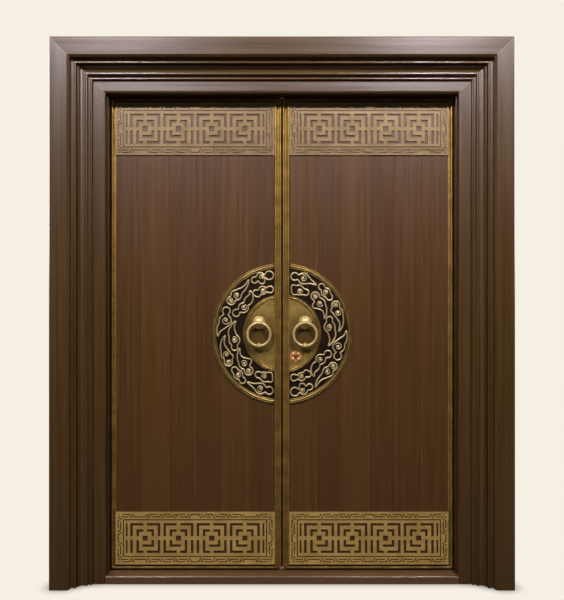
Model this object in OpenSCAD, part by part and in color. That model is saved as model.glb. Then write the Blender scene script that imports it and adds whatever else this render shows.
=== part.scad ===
// Double-leaf entrance door of dark upright boards with cast brass ornament,
// hung in a rebated frame with a deep stepped casing.
// Millimetres. X runs across the door, Y from the street into the house, Z up.
// The origin is on the floor, on the centre line, in the plane of the wall face.

/* [Casing] */
// Clear width between the casing's inner edges
opening_w = 1545; // [1400:5:1700]
// Height of the casing's inner edge above the floor
opening_h = 2149; // [2050:1:2300]
// Width of the moulded casing band
casing_w = 227.5; // [222:0.5:250]
// How far the casing's outer flat stands out from the wall face
casing_d = 102; // [96:1:115]
// Thickness of the casing at its inner flat
casing_inner_t = 30; // [27:1:34]
// Width of the casing's outer flat
outer_flat = 76; // [70:0.5:80]
// Width and depth of the bevel beside the outer flat
outer_bevel = 9.5; // [6:0.5:11]
// Width of the casing's inner flat with its rounded edge
inner_flat = 49.5; // [42:0.5:51]
// Radius of the rounded edge at the opening
opening_arris = 10; // [5:0.5:14]
// Width of the casing's cove
cove_w = 25; // [20:0.5:26]
// Depth of the casing's cove
cove_d = 18; // [14:0.5:19]
// Depth of the rebate behind the casing that takes the jambs and the head
casing_rebate = 2; // [1:0.5:4]

/* [Frame] */
// Thickness of the jambs and the head outside the leaves' edges
jamb_t = 87; // [60:1:110]
// How far the jambs stand into the opening past the casing
jamb_margin = 6.5; // [3:0.5:10]
// How far the head stands into the opening past the casing
head_margin = 3; // [2:0.5:10]
// Depth of the stops behind the wall face
stop_d = 50; // [40:1:70]
// Height of the threshold's nosing
sill_h = 34; // [30:1:45]
// Overlap of the stops on the leaves
lip = 10; // [9:0.5:12]
// Overlap of the threshold's nosing on the leaves
sill_lip = 7; // [5:0.5:9]
// Width of the seal strips
seal_w = 6; // [4:0.5:6.5]
// Radius of the wall anchor holes
anchor_r = 5.5; // [4:0.5:7]
// Height of the lower wall anchors
anchor_z = 420; // [350:5:480]
// Distance between the lower and upper wall anchors
anchor_pitch = 1400; // [1300:5:1450]

/* [Leaves] */
// Thickness of a leaf
leaf_t = 70; // [66:1:80]
// Gap between the two leaves
meeting_gap = 6; // [5.5:0.25:8]
// Gap round a leaf in its rebate
edge_gap = 3; // [2.5:0.25:4]
// Gap under a leaf
sill_gap = 4; // [3:0.5:6]
// Space for the seals in front of a leaf
seal_gap = 6; // [5:0.5:8]
// Number of boards across a leaf
board_n = 6; // [4:1:8]
// Thickness of the front boards
board_t = 12; // [10:0.5:14]
// Thickness of the back boards
back_board_t = 6; // [5:0.5:9]
// Width of the joint between boards
board_joint = 0.8; // [0.5:0.1:1.5]
// Bevel along the boards' edges
board_bevel = 1.2; // [0.6:0.1:2]
// Width of the brass trims at the hinge side, top and bottom
trim_w = 31.5; // [29:0.5:36]
// Width of the brass trim at the meeting edge
meeting_trim_w = 30; // [29:0.5:36]
// How far the trims' ridges stand out from the boards
trim_rise = 10; // [8:0.5:12]

/* [Lattice plates] */
// Height of a lattice plate
lattice_h = 235; // [225:1:250]
// Thickness of a lattice plate
lattice_t = 6; // [5:0.5:8]
// Pitch of the key pattern's grid
grid = 13.5; // [12.5:0.1:13.7]
// Depth of the key pattern's strokes
stroke_d = 4.5; // [3:0.25:4.75]
// Width of the oblique fret band, with its plain edge
fret_w = 30; // [26:0.5:32]
// Length of one step of the oblique fret
fret_pitch = 61.6; // [56:0.2:70]
// Width of the fret's lines
fret_line = 5; // [3.5:0.25:5.5]
// Depth of the fret's lines
fret_d = 3; // [1.5:0.25:4]

/* [Medallion] */
// Radius of the medallion
medal_r = 315; // [305:1:320]
// Height of the medallion's centre
medal_z = 1091; // [1050:1:1130]
// Thickness of the medallion's ground
medal_t = 4; // [3:0.5:6]
// Width of the medallion's rim
rim_w = 21; // [16:0.5:24]
// How far the rim stands out from the ground
rim_rise = 7; // [5:0.5:9]
// Outer radius of the inner ring
hub_r = 175; // [168:1:178]
// Width of the inner ring
hub_ring_w = 18; // [12:0.5:20]
// Width of the cloud outlines
ridge_w = 4.2; // [3.6:0.1:5]
// How far the clouds stand out from the ground
ridge_rise = 5; // [3.5:0.25:6]
// Radius of the balls in the clouds
ball_r = 5; // [4:0.25:5.5]

/* [Knockers] */
// Distance of a knocker from the centre line
knocker_x = 103; // [98:1:108]
// Height of the knocker's eye above the medallion's centre
knocker_rise = 49; // [46:1:55]
// Radius of the ring at the middle of its bar
ring_r = 51; // [45:0.5:53]
// Radius of the ring's bar
ring_bar_r = 6; // [5:0.25:6.5]
// Radius of the knocker's domed rose
rose_r = 30; // [27:0.5:33]
// Height of the dome
rose_rise = 20; // [16:0.5:22]
// Radius of the ball that holds the ring
eye_r = 10; // [9.5:0.25:12]
// Radius of the barrel at the foot of the ring
collar_r = 9.5; // [8:0.25:10]
// Width of the barrel
collar_w = 9; // [6:0.5:11]
// Length of the thin neck on each side of the barrel
neck_len = 5; // [3:0.5:7]
// Radius of the strike stud
stud_r = 11; // [9:0.5:13]

/* [Lock] */
// Distance of the key from the centre line
key_x = 62; // [60:0.5:68]
// Distance of the key below the medallion's centre
key_drop = 102; // [95:1:108]
// Radius of the key rose
key_rose_r = 25.5; // [24:0.25:26]
// Radius of the key cylinder
cylinder_r = 13; // [12:0.5:14]
// Radius of the key plug
plug_r = 5.5; // [5:0.25:6]
// Radius of the lock bolts
bolt_r = 7; // [6:0.25:7.5]
// Travel of the lock bolts and flush bolts
bolt_travel = 20; // [14:0.5:20]
// Distance of each lock bolt from the key's height
bolt_offset = 60; // [45:1:70]
// Height of the lock's faceplate
faceplate_h = 230; // [210:1:260]

/* [Hinges] */
// Number of hinges on a leaf
hinge_n = 4; // [3:1:5]
// Height of a hinge
hinge_h = 125; // [110:1:150]
// Width of a hinge plate
hinge_plate_w = 40; // [34:1:44]
// Thickness of a hinge plate
hinge_plate_t = 3; // [2.5:0.25:3.5]
// Radius of the hinge knuckles
knuckle_r = 8; // [7:0.25:9]
// Radius of the hinge pins
pin_r = 4; // [3.5:0.25:4.5]
// Distance of the end hinges from the leaf's top and bottom
hinge_inset = 230; // [200:5:300]

/* [Flush bolts and handles] */
// Radius of a flush bolt
flush_r = 6; // [5:0.25:7]
// Length of a flush bolt
flush_len = 240; // [200:5:300]
// Height of a flush bolt's plate
flush_plate_h = 120; // [100:1:150]
// Length of the inside pull handles
pull_len = 600; // [450:10:750]
// Radius of the handles' bars
pull_r = 10; // [8:0.5:12]
// Distance from the leaf to the middle of the bar
pull_stand = 60; // [50:1:75]
// Distance of the handles from the centre line
pull_x = 135; // [125:1:160]

/* [Hidden] */
$fn = 64;

// Clearances
fit = 0.2;           // pieces let into wood
run = 0.05;          // pins and plugs in their bores
slip = 0.4;          // bolts in their guides
eps = 1;             // overshoot of cuts past a face

// Colours
wood_dark = "#4a2e22";
wood_board = "#5f4430";
wood_back = "#543a29";
brass = "#8a713f";
brass_bright = "#b49a62";
copper = "#8c4a2c";
steel = "#9a9a98";
rubber = "#1c1b1a";

// Frame lines, on the right-hand side
half_open = opening_w / 2;
out_x = half_open + casing_w;
out_z = opening_h + casing_w;
stop_x = half_open - jamb_margin;
leaf_x = stop_x + lip;
rebate_x = leaf_x + edge_gap;
jamb_x = rebate_x + jamb_t;
stop_z = opening_h - head_margin;
leaf_z1 = stop_z + lip;
rebate_z = leaf_z1 + edge_gap;
head_z = rebate_z + jamb_t;
leaf_z0 = sill_h - sill_lip;
sill_rebate_z = leaf_z0 - sill_gap;
sill_nose_r = 5;

// Leaf lines
meet_x = meeting_gap / 2;
leaf_w = leaf_x - meet_x;
leaf_h = leaf_z1 - leaf_z0;
face_y = stop_d + seal_gap;
core_y = face_y + board_t;
back_y = face_y + leaf_t;
core_back_y = back_y - back_board_t;
core_mid_y = (core_y + core_back_y) / 2;
field_x0 = meet_x + meeting_trim_w;
field_x1 = leaf_x - trim_w;
field_z0 = leaf_z0 + trim_w;
field_z1 = leaf_z1 - trim_w;
field_mid_x = (field_x0 + field_x1) / 2;
trim_clear = 1.5;

// Casing moulding, from the outer edge inwards and from the wall face outwards
casing_arris = 3;
groove_1_h = casing_d - 32;
bead_1_r = 5;
bead_1_u = outer_flat + outer_bevel + 19.5;
ledge_u = bead_1_u + 5;
quirk_w = 3.5;
quirk_d = 7;
ledge_h = casing_d - 42;
bead_2_u = casing_w - inner_flat - 31;
bead_2_r = 6;
bead_2_h = ledge_h - cove_d + 2;
bead_2_foot = bead_2_h - 1.5;
cove_u = bead_2_u - bead_2_r + 0.6;
groove_3_h = casing_inner_t + 4;
bead_3_u = casing_w - inner_flat - 11;
bead_3_r = 4;
groove_4_w = 7;
groove_4_h = casing_inner_t - 6;

// Seals and their grooves
seal_inset = 1.5;
seal_groove_d = 4;
seal_clear = 0.3;
seal_t = 4;
meeting_seal_y = core_back_y - 8;

// Wall anchors
anchor_y = stop_d + 18;
anchor_head_r = anchor_r + 4.5;
anchor_head_d = 10;

// Hinges
knuckle_n = 5;
knuckle_clear = 1;
knuckle_gap = 0.4;
axis_x = leaf_x + edge_gap / 2;
axis_y = back_y + knuckle_r + knuckle_clear;
pin_head_r = pin_r + 2;
pin_head_h = 3;
screw_head_r = 4;
screw_head_h = 2.2;
screw_r = 2;
screw_len = 30;

// Lattice
stroke = 0.86 * grid;
key_pitch = 11 * grid;
key_gap = 0.6 * grid;
key_inner = 2.5 * grid;
key_outer = 4.55 * grid;
key_eye = 0.85 * grid;
end_stroke = 0.6 * grid;
end_stroke_x = 6.15 * grid;
lattice_w = field_x1 - field_x0 - 2 * fit;
lattice_edge = 6;
fret_low = 1;
fret_high = 21;
fret_mid = 5;
fret_lean = 0.68;
fret_slot = fret_line * 1.25;
line_frame = fret_w + 3;
lattice_low_z = field_z0 + fit;
lattice_high_z = field_z1 - fit - lattice_h;
key_count = 2 * floor((lattice_w - 2 * (line_frame + fret_line)) / (2 * key_pitch));

// Medallion, knockers
medal_face_y = face_y - medal_t;
hub_t = 1;
hub_y = medal_face_y - hub_t;
hub_ring_rise = 6;
cloud_scale = medal_r / 315;
curl_w = 3.2;
nook_r = 7;
relief_gap = 0.5;
eye_z = medal_z + knocker_rise;
eye_bore_r = ring_bar_r + 0.8;
eye_y = hub_y - rose_rise - ring_bar_r - 1;
eye_w = 11;
neck_r = 3.5;
ring_z = eye_z - ring_r;
stud_z = ring_z - ring_r;
stud_gap = 0.3;
stud_top_y = eye_y + collar_r + stud_gap;
dome_r = (rose_r * rose_r + rose_rise * rose_rise) / (2 * rose_rise);

// Lock
key_z = medal_z - key_drop;
faceplate_t = 3;
lock_w = 24;
case_wall = 2.5;
case_x0 = meet_x + faceplate_t;
case_x1 = key_x + 30;
case_h = 2 * (bolt_offset + bolt_r) + 24;
cam_len = 21;
cam_w = 6;
cam_t = 8;
carriage_t = 9;
carriage_x = key_x - 7.5;
carriage_w = 14;
cam_slot = carriage_t + 2;
nose_r = plug_r + 2.5;
key_rose_t = 3;
petal_r = 7.5;
petal_orbit = 16;
keyway_w = 2;
keyway_h = 8;
thumb_rose_t = 4;
thumb_r = 18;
thumb_t = 6;
thumb_h = 20;
nose_y = hub_y - key_rose_t - 4;
cylinder_back_y = back_y + thumb_rose_t;
bolt_rest_x = meet_x + 1;
strike_depth = bolt_travel + 8;

// Flush bolts
flush_x = meet_x + 14;
flush_tip = 1;
flush_spare = 2;
flush_thumb = 14;
flush_thumb_t = 8;
keeper_w = 30;
keeper_l = 60;
keeper_t = 3;
flush_plate_w = 22;
top_thumb_z = leaf_z1 - flush_tip - flush_len + flush_thumb;
bottom_thumb_z = leaf_z0 + flush_tip + flush_len - flush_thumb;

// Handles
pull_post_r = 8;
pull_foot_r = 18;
pull_foot_t = 5;
pull_post_inset = 90;
pull_z = medal_z - 20;

// Clouds on the left half, seen from the front, from the medallion's centre:
// lobes [x, y, radius], tails [base, bend, tip, half width], curls [x, y, radius, start angle]
CLOUDS = [
    [[[-123, 239, 14], [-96, 254, 18], [-57, 260, 19], [-90, 235, 13]], [], [[-90, 254, 12, 200]]],
    [[[-117, 182, 13], [-87, 193, 18], [-54, 197, 15], [-108, 174, 11]], [], [[-86, 192, 12, 20]]],
    [[[-204, 171, 22], [-228, 147, 18], [-214, 176, 13]], [[[-196, 184], [-157, 203], [-149, 244], 12]],
        [[-203, 171, 14, 250], [-228, 147, 11.5, 120]]],
    [[[-173, 115, 22], [-205, 92, 16], [-152, 144, 16]], [[[-152, 146], [-130, 170], [-144, 191], 14]],
        [[-171, 117, 14, 40]]],
    [[[-254, 57, 27], [-249, 101, 17]], [[[-262, 40], [-290, 20], [-286, -12], 15]],
        [[-252, 58, 18, 300]]],
    [[[-213, -30, 24], [-212, -62, 14]], [[[-222, -8], [-232, 26], [-205, 58], 15]],
        [[-213, -29, 15, 80]]],
    [[[-251, -94, 21], [-240, -127, 18], [-228, -104, 10]], [[[-256, -80], [-278, -42], [-251, -7], 13]],
        [[-250, -93, 14, 200], [-240, -127, 11.5, 20]]],
    [[[-168, -134, 25], [-149, -167, 19], [-147, -124, 11]], [[[-182, -120], [-200, -98], [-189, -67], 12]],
        [[-169, -134, 15, 120], [-149, -166, 12, 300]]],
    [[[-196, -184, 20], [-212, -163, 14], [-177, -209, 14]], [], [[-196, -185, 13, 60]]],
    [[[-106, -184, 14], [-80, -192, 20], [-56, -187, 14], [-53, -206, 12], [-76, -206, 11]], [],
        [[-80, -191, 13, 160]]],
    [[[-96, -246, 24], [-57, -255, 17]], [[[-106, -240], [-128, -234], [-154, -217], 13]],
        [[-96, -246, 16, 250]]]
];

// Helpers

// A right-hand piece, or its mirror image on the left
module on_side(side) mirror([side < 0 ? 1 : 0, 0, 0]) children();

// A box between two opposite corners
module block(a, b) translate(a) cube(b - a);

module rod_x(r, x0, x1, y, z) translate([x0, y, z]) rotate([0, 90, 0]) cylinder(r = r, h = x1 - x0);
module rod_y(r, x, y0, y1, z) translate([x, y1, z]) rotate([90, 0, 0]) cylinder(r = r, h = y1 - y0);
module rod_z(r, x, y, z0, z1) translate([x, y, z0]) cylinder(r = r, h = z1 - z0);

// A front-view outline with thickness from y0 to y1
module front_prism(y0, y1) translate([0, y1, 0]) rotate([90, 0, 0]) linear_extrude(height = y1 - y0) children();

// A relief drawn in front view, set on the plane y and rising towards the street
module on_face(x, y, z) translate([x, y, z]) rotate([90, 0, 0]) children();

// Casing

// The band's section; wall_w is the width of its back that lies on the wall
module casing_profile(wall_w) {
    round_c = [casing_w - opening_arris, casing_inner_t - opening_arris];
    polygon(concat(
        [[0, 0], [wall_w, 0], [wall_w, casing_rebate], [casing_w, casing_rebate]],
        [for (a = [0 : 15 : 90]) round_c + opening_arris * [cos(a), sin(a)]],
        [
            [casing_w - inner_flat, casing_inner_t], [casing_w - inner_flat, groove_4_h],
            [casing_w - inner_flat - groove_4_w, groove_4_h],
            [casing_w - inner_flat - groove_4_w, groove_3_h],
            [bead_2_u + bead_2_r * 0.75, groove_3_h], [bead_2_u + bead_2_r * 0.75, bead_2_foot],
            [cove_u, bead_2_foot]
        ],
        [for (a = [90 : -7.5 : 0]) [cove_u - cove_w * cos(a), ledge_h - cove_d * sin(a)]],
        [
            [ledge_u + quirk_w, ledge_h], [ledge_u + quirk_w, ledge_h - quirk_d],
            [ledge_u, ledge_h - quirk_d], [ledge_u, groove_1_h],
            [outer_flat + outer_bevel, groove_1_h],
            [outer_flat + outer_bevel, casing_d - outer_bevel], [outer_flat, casing_d],
            [casing_arris, casing_d], [0, casing_d - casing_arris]
        ]
    ));
    translate([bead_1_u, groove_1_h + bead_1_r - 1]) circle(bead_1_r);
    translate([bead_2_u, bead_2_h]) circle(bead_2_r);
    translate([bead_3_u, groove_3_h + 2]) circle(bead_3_r);
}

module casing_leg(side) {
    color(wood_dark) on_side(side) intersection() {
        translate([out_x, 0, 0]) rotate([0, 0, 180])
            linear_extrude(height = out_z) casing_profile(out_x - jamb_x - fit);
        front_prism(-casing_d - eps, eps)
            polygon([[out_x, 0], [out_x, out_z], [half_open, opening_h], [half_open, 0]]);
    }
}

module left_casing() casing_leg(-1);
module right_casing() casing_leg(1);

module head_casing() {
    color(wood_dark) intersection() {
        translate([0, 0, out_z]) rotate([180, 90, 0])
            linear_extrude(height = 2 * out_x, center = true) casing_profile(out_z - head_z - fit);
        front_prism(-casing_d - eps, eps)
            polygon([[out_x, out_z], [-out_x, out_z], [-half_open, opening_h], [half_open, opening_h]]);
    }
}

// Frame

function hinge_z(i) = leaf_z0 + hinge_inset + i * (leaf_h - 2 * hinge_inset) / (hinge_n - 1);

module jamb(side) {
    color(wood_dark) on_side(side) difference() {
        linear_extrude(height = head_z) polygon([
            [stop_x, -casing_rebate], [jamb_x, -casing_rebate], [jamb_x, back_y],
            [rebate_x, back_y], [rebate_x, stop_d], [stop_x, stop_d]
        ]);
        for (i = [0 : hinge_n - 1])
            block([rebate_x - eps, back_y - hinge_plate_w - fit, hinge_z(i) - hinge_h / 2 - fit],
                  [rebate_x + hinge_plate_t + fit, back_y + eps, hinge_z(i) + hinge_h / 2 + fit]);
        screws_at() frame_screw_place($i, $j) screw_shape(fit);
        block([stop_x + seal_inset - fit, stop_d - seal_groove_d - fit, sill_h],
              [stop_x + seal_inset + seal_w + fit, stop_d + eps, rebate_z]);
        for (k = [0, 1]) {
            rod_x(anchor_r, rebate_x - eps, jamb_x + eps, anchor_y, anchor_z + k * anchor_pitch);
            rod_x(anchor_head_r, rebate_x - eps, rebate_x + anchor_head_d, anchor_y, anchor_z + k * anchor_pitch);
        }
    }
}

module left_jamb() jamb(-1);
module right_jamb() jamb(1);

module head_jamb() {
    color(wood_dark) difference() {
        union() {
            block([-stop_x, -casing_rebate, stop_z], [stop_x, stop_d, head_z]);
            block([-rebate_x, stop_d, rebate_z], [rebate_x, back_y, head_z]);
        }
        block([-stop_x - eps, stop_d - seal_groove_d - fit, stop_z + seal_inset - fit],
              [stop_x + eps, stop_d + eps, stop_z + seal_inset + seal_w + fit]);
        keeper_pocket(rebate_z, 1);
        rod_z(flush_r + eps, -flush_x, core_mid_y, rebate_z - eps, rebate_z + bolt_travel + flush_spare);
    }
}

module threshold() {
    nose_x = half_open - fit;
    color(wood_dark) difference() {
        union() {
            difference() {
                block([-nose_x, -casing_inner_t, 0], [nose_x, -casing_rebate, sill_h]);
                block([-nose_x - eps, -casing_inner_t - eps, sill_h - sill_nose_r],
                      [nose_x + eps, -casing_inner_t + sill_nose_r, sill_h + eps]);
            }
            rod_x(sill_nose_r, -nose_x, nose_x, -casing_inner_t + sill_nose_r, sill_h - sill_nose_r);
            block([fit - stop_x, -casing_rebate, 0], [stop_x - fit, stop_d, sill_h]);
            block([fit - rebate_x, stop_d, 0], [rebate_x - fit, back_y, sill_rebate_z]);
        }
        keeper_pocket(sill_rebate_z, -1);
        rod_z(flush_r + eps, -flush_x, core_mid_y, leaf_z0 - bolt_travel - flush_spare, sill_rebate_z + eps);
    }
}

module frame_seals() {
    y0 = stop_d - seal_groove_d;
    y1 = face_y - seal_clear;
    color(rubber) {
        for (s = [-1, 1])
            on_side(s) block([stop_x + seal_inset, y0, sill_h + fit],
                                  [stop_x + seal_inset + seal_w, y1, stop_z + seal_inset - 2 * fit]);
        block([-stop_x + fit, y0, stop_z + seal_inset], [stop_x - fit, y1, stop_z + seal_inset + seal_w]);
    }
}

// A soft strip in the left leaf's edge that reaches across to the right leaf
module meeting_seal() {
    color(rubber) on_side(-1)
        block([seal_clear - meet_x, meeting_seal_y - seal_t / 2, leaf_z0],
              [meet_x + seal_groove_d, meeting_seal_y + seal_t / 2, leaf_z1]);
}

// Recess for a keeper plate in a face at z, cut upwards or downwards
module keeper_pocket(z, dir) {
    z0 = dir > 0 ? z - eps : z - keeper_t - fit;
    z1 = dir > 0 ? z + keeper_t + fit : z + eps;
    block([-flush_x - keeper_l / 2 - fit, core_mid_y - keeper_w / 2 - fit, z0],
          [-flush_x + keeper_l / 2 + fit, core_mid_y + keeper_w / 2 + fit, z1]);
}

module keeper(z) {
    color(brass) difference() {
        block([-flush_x - keeper_l / 2, core_mid_y - keeper_w / 2, z],
              [-flush_x + keeper_l / 2, core_mid_y + keeper_w / 2, z + keeper_t]);
        rod_z(flush_r + eps, -flush_x, core_mid_y, z - eps, z + keeper_t + eps);
    }
}

module head_keeper() keeper(rebate_z);
module threshold_keeper() keeper(sill_rebate_z - keeper_t);

// Hinges

// A countersunk screw with its head in the plane z = 0, pointing down, grown by g
module screw_shape(g = 0) {
    rotate_extrude() polygon([
        [0, g > 0 ? eps : 0], [screw_head_r + g, g > 0 ? eps : 0], [screw_head_r + g, 0],
        [screw_r + g, -screw_head_h], [screw_r + g, -screw_len - g], [0, -screw_len - screw_r - g]
    ]);
}

// Runs its child for every hinge $i and screw $j
module screws_at() {
    for ($i = [0 : hinge_n - 1]) for ($j = [-1, 0, 1]) children();
}

function screw_y(j) = back_y - hinge_plate_w * (j == 0 ? 0.32 : 0.68);
function screw_z(i, j) = hinge_z(i) + j * hinge_h / 3;

module frame_screw_place(i, j) translate([rebate_x, screw_y(j), screw_z(i, j)]) rotate([0, -90, 0]) children();
module leaf_screw_place(i, j) translate([leaf_x, screw_y(j), screw_z(i, j)]) rotate([0, 90, 0]) children();

// Plates with the knuckles numbered first, first + 2 and so on; x0 and x1 bound the plate
module hinge_plates(x0, x1, first) {
    seg = hinge_h / knuckle_n;
    for (i = [0 : hinge_n - 1]) {
        z0 = hinge_z(i) - hinge_h / 2;
        difference() {
            union() {
                block([x0, back_y - hinge_plate_w, z0], [x1, back_y, z0 + hinge_h]);
                for (k = [first : 2 : knuckle_n - 1]) {
                    block([x0, back_y - eps, z0 + k * seg + knuckle_gap / 2],
                          [x1, axis_y, z0 + (k + 1) * seg - knuckle_gap / 2]);
                    rod_z(knuckle_r, axis_x, axis_y, z0 + k * seg + knuckle_gap / 2,
                          z0 + (k + 1) * seg - knuckle_gap / 2);
                }
            }
            rod_z(pin_r + run, axis_x, axis_y, z0 - eps, z0 + hinge_h + eps);
            for (j = [-1, 0, 1]) {
                if (first == 0) frame_screw_place(i, j) screw_shape(fit);
                else leaf_screw_place(i, j) screw_shape(fit);
            }
        }
    }
}

module frame_hinge_plates() {
    color(brass) for (s = [-1, 1]) on_side(s) hinge_plates(rebate_x, rebate_x + hinge_plate_t, 0);
}

module leaf_hinge_plates(side) {
    color(brass) on_side(side) hinge_plates(leaf_x - hinge_plate_t, leaf_x, 1);
}

module left_hinge_plates() leaf_hinge_plates(-1);
module right_hinge_plates() leaf_hinge_plates(1);

module hinge_pins(side) {
    color(brass_bright) on_side(side) for (i = [0 : hinge_n - 1]) {
        z0 = hinge_z(i) - hinge_h / 2;
        translate([axis_x, axis_y, 0]) rotate_extrude() polygon([
            [0, z0 - pin_r], [pin_r - 1, z0 - pin_r], [pin_r, z0 - pin_r + 1],
            [pin_r, z0 + hinge_h], [pin_head_r, z0 + hinge_h],
            [pin_head_r, z0 + hinge_h + pin_head_h - 1], [pin_head_r - 1, z0 + hinge_h + pin_head_h],
            [0, z0 + hinge_h + pin_head_h]
        ]);
    }
}

module left_hinge_pins() hinge_pins(-1);
module right_hinge_pins() hinge_pins(1);

module frame_hinge_screws() {
    color(brass) for (s = [-1, 1]) on_side(s) screws_at() frame_screw_place($i, $j) screw_shape();
}

module leaf_hinge_screws(side) {
    color(brass) on_side(side) screws_at() leaf_screw_place($i, $j) screw_shape();
}

module left_hinge_screws() leaf_hinge_screws(-1);
module right_hinge_screws() leaf_hinge_screws(1);

// Leaves

// What is cut out of either leaf for its hinges
module hinge_cuts() {
    for (i = [0 : hinge_n - 1])
        block([leaf_x - hinge_plate_t - fit, back_y - hinge_plate_w - fit, hinge_z(i) - hinge_h / 2 - fit],
              [leaf_x + eps, back_y + eps, hinge_z(i) + hinge_h / 2 + fit]);
    screws_at() leaf_screw_place($i, $j) screw_shape(fit);
}

// What is cut out of the right leaf for its lock
module lock_cuts() {
    block([meet_x - eps, core_mid_y - lock_w / 2 - fit, key_z - faceplate_h / 2 - fit],
          [case_x0 + fit, core_mid_y + lock_w / 2 + fit, key_z + faceplate_h / 2 + fit]);
    block([meet_x - eps, core_mid_y - lock_w / 2 - fit, key_z - case_h / 2 - fit],
          [case_x1 + fit, core_mid_y + lock_w / 2 + fit, key_z + case_h / 2 + fit]);
    cylinder_cut();
}

module cylinder_cut() rod_y(cylinder_r + fit, key_x, hub_y - eps, back_y + eps, key_z);

// What is cut out of the left leaf, drawn on the right, for its strike and flush bolts
module strike_cuts() {
    block([meet_x - eps, core_mid_y - lock_w / 2 - fit, key_z - faceplate_h / 2 - fit],
          [case_x0 + fit, core_mid_y + lock_w / 2 + fit, key_z + faceplate_h / 2 + fit]);
    for (k = [-1, 1])
        rod_x(bolt_r + slip, meet_x - eps, meet_x + strike_depth, core_mid_y, key_z + k * bolt_offset);
    block([meet_x - eps, meeting_seal_y - seal_t / 2 - fit, leaf_z0 - eps],
          [meet_x + seal_groove_d + fit, meeting_seal_y + seal_t / 2 + fit, leaf_z1 + eps]);
    flush_cut(top_thumb_z, leaf_z1 + eps, 1);
    flush_cut(bottom_thumb_z, leaf_z0 - eps, -1);
}

// Bore, thumb slot and plate recess of one flush bolt that leaves the leaf at z_out
module flush_cut(thumb_z, z_out, dir) {
    z_in = thumb_z - dir * (flush_thumb + slip);
    rod_z(flush_r + slip, flush_x, core_mid_y, min(z_in, z_out), max(z_in, z_out));
    flush_slot(thumb_z, dir, 0, flush_x);
    block([meet_x - eps, core_mid_y - flush_plate_w / 2 - fit, thumb_z - flush_plate_h / 2 - fit],
          [case_x0 + fit, core_mid_y + flush_plate_w / 2 + fit, thumb_z + flush_plate_h / 2 + fit]);
}

// The slot that a flush bolt's thumb piece slides in, from the meeting edge to x1
module flush_slot(thumb_z, dir, g, x1) {
    half = flush_thumb / 2 + slip + g;
    z_far = thumb_z + dir * bolt_travel;
    block([meet_x - eps, core_mid_y - flush_thumb_t / 2 - slip - g, min(thumb_z, z_far) - half],
          [x1, core_mid_y + flush_thumb_t / 2 + slip + g, max(thumb_z, z_far) + half]);
}

module leaf_core(side) {
    color(wood_back) on_side(side) difference() {
        block([meet_x, core_y, leaf_z0], [leaf_x, core_back_y, leaf_z1]);
        hinge_cuts();
        if (side > 0) lock_cuts();
        else strike_cuts();
    }
}

module left_core() leaf_core(-1);
module right_core() leaf_core(1);

// One board between x0 and x1, from its flat back at y_back to its bevelled face at y_face
module board(x0, x1, y_back, y_face, z0, z1) {
    c = y_face > y_back ? -board_bevel : board_bevel;
    translate([0, 0, z0]) linear_extrude(height = z1 - z0) polygon([
        [x0, y_back], [x0, y_face + c], [x0 + board_bevel, y_face],
        [x1 - board_bevel, y_face], [x1, y_face + c], [x1, y_back]
    ]);
}

module board_row(x0, x1, y_back, y_face, z0, z1) {
    pitch = (x1 - x0) / board_n;
    for (i = [0 : board_n - 1])
        board(x0 + i * pitch + (i == 0 ? fit : board_joint / 2),
              x0 + (i + 1) * pitch - (i == board_n - 1 ? fit : board_joint / 2),
              y_back, y_face, z0, z1);
}

module front_boards(side) {
    color(wood_board) on_side(side) difference() {
        board_row(field_x0, field_x1, core_y, face_y, field_z0 + fit, field_z1 - fit);
        if (side > 0) cylinder_cut();
    }
}

module left_front_boards() front_boards(-1);
module right_front_boards() front_boards(1);

module back_boards(side) {
    color(wood_board) on_side(side) difference() {
        board_row(meet_x - fit, leaf_x + fit, core_back_y, back_y, leaf_z0, leaf_z1);
        hinge_cuts();
        if (side > 0) cylinder_cut();
    }
}

module left_back_boards() back_boards(-1);
module right_back_boards() back_boards(1);

// Brass trims: profiles run from the leaf's edge inwards and from the core outwards

module edge_trim_profile() {
    ridge_r = 6;
    ridge_u = lip + trim_clear + ridge_r;
    top = board_t + trim_rise - ridge_r;
    square([trim_w, board_t - 2]);
    square([ridge_u + ridge_r, board_t]);
    translate([ridge_u - ridge_r, board_t - eps]) square([2 * ridge_r, top - board_t + eps]);
    translate([ridge_u, top]) circle(ridge_r);
}

module meeting_trim_profile() {
    outer_r = 3.75;
    inner_r = 4.75;
    hollow_r = 5.5;
    band = 2;
    edge = 1;
    outer_top = board_t + trim_rise - band - outer_r;
    difference() {
        square([meeting_trim_w, board_t + band]);
        translate([meeting_trim_w / 2 - edge, board_t + hollow_r - edge]) circle(hollow_r);
        translate([-eps, board_t]) square([eps + edge, band + eps]);
    }
    translate([edge, board_t]) square([2 * outer_r, outer_top - board_t]);
    translate([edge + outer_r, outer_top]) circle(outer_r);
    translate([meeting_trim_w - 2 * inner_r, board_t]) square([2 * inner_r, trim_rise - inner_r]);
    translate([meeting_trim_w - inner_r, board_t + trim_rise - inner_r]) circle(inner_r);
}

// A trim held to its side of the leaf's face by the mitres at its ends
module mitred(outline) {
    intersection() {
        children();
        front_prism(face_y - trim_rise - eps, core_y + eps) polygon(outline);
    }
}

module hinge_trim(side) {
    color(brass) on_side(side)
        mitred([[leaf_x, leaf_z0], [leaf_x, leaf_z1], [field_x1, field_z1], [field_x1, field_z0]])
            translate([leaf_x, core_y, leaf_z0]) rotate([0, 0, 180])
                linear_extrude(height = leaf_h) edge_trim_profile();
}

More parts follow.
